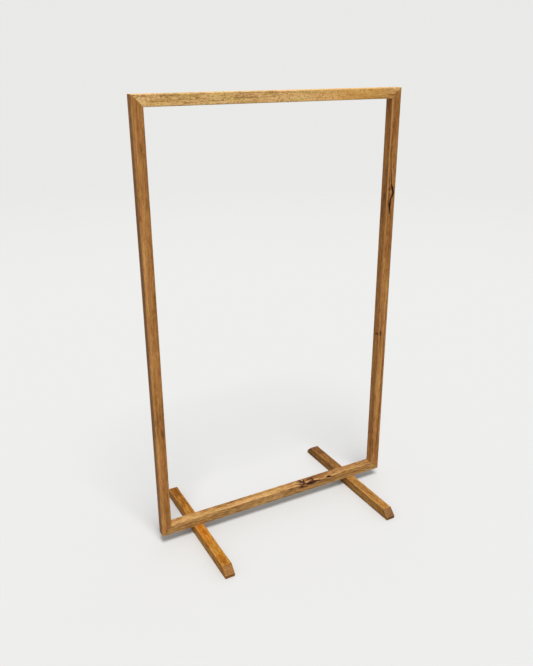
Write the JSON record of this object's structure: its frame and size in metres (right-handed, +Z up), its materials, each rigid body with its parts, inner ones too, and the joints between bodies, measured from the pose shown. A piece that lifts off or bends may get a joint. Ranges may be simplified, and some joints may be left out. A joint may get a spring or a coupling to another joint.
{
  "type": "free-standing display frame",
  "caption": "Tall mitred hardwood frame on cross feet with sloped ends, for standing or hanging a sign, picture or panel in its open window.",
  "frame": {"origin": "on the ground, in the middle of the frame's width and of the feet's length", "axes": "+X to the right as seen from the front, -Y towards the front, +Z up"},
  "size_m": [1.01, 0.6006, 1.638],
  "materials": {
    "top_rail_timber": "pale figured hardwood, oiled, satin",
    "left_stile_timber": "mid-brown hardwood with a pale streak, oiled, satin",
    "right_stile_timber": "darker hardwood with a gum vein and small knots, oiled, satin",
    "bottom_rail_timber": "mid-brown hardwood with a knot, oiled, satin",
    "foot_timber": "golden orange hardwood, oiled, satin",
    "dowel_beech": "plain beech, unfinished",
    "screw_steel": "zinc plated, cross recess"
  },
  "bodies": {
    "root": {"top_rail": "top_rail_timber", "left_stile": "left_stile_timber", "right_stile": "right_stile_timber", "bottom_rail": "bottom_rail_timber", "left_foot": "foot_timber", "right_foot": "foot_timber", "top_left_front_dowel": "dowel_beech", "top_left_back_dowel": "dowel_beech", "top_right_front_dowel": "dowel_beech", "top_right_back_dowel": "dowel_beech", "bottom_left_front_dowel": "dowel_beech", "bottom_left_back_dowel": "dowel_beech", "bottom_right_front_dowel": "dowel_beech", "bottom_right_back_dowel": "dowel_beech", "left_foot_front_screw": "screw_steel", "left_foot_back_screw": "screw_steel", "right_foot_front_screw": "screw_steel", "right_foot_back_screw": "screw_steel"}
  },
  "joints": []
}
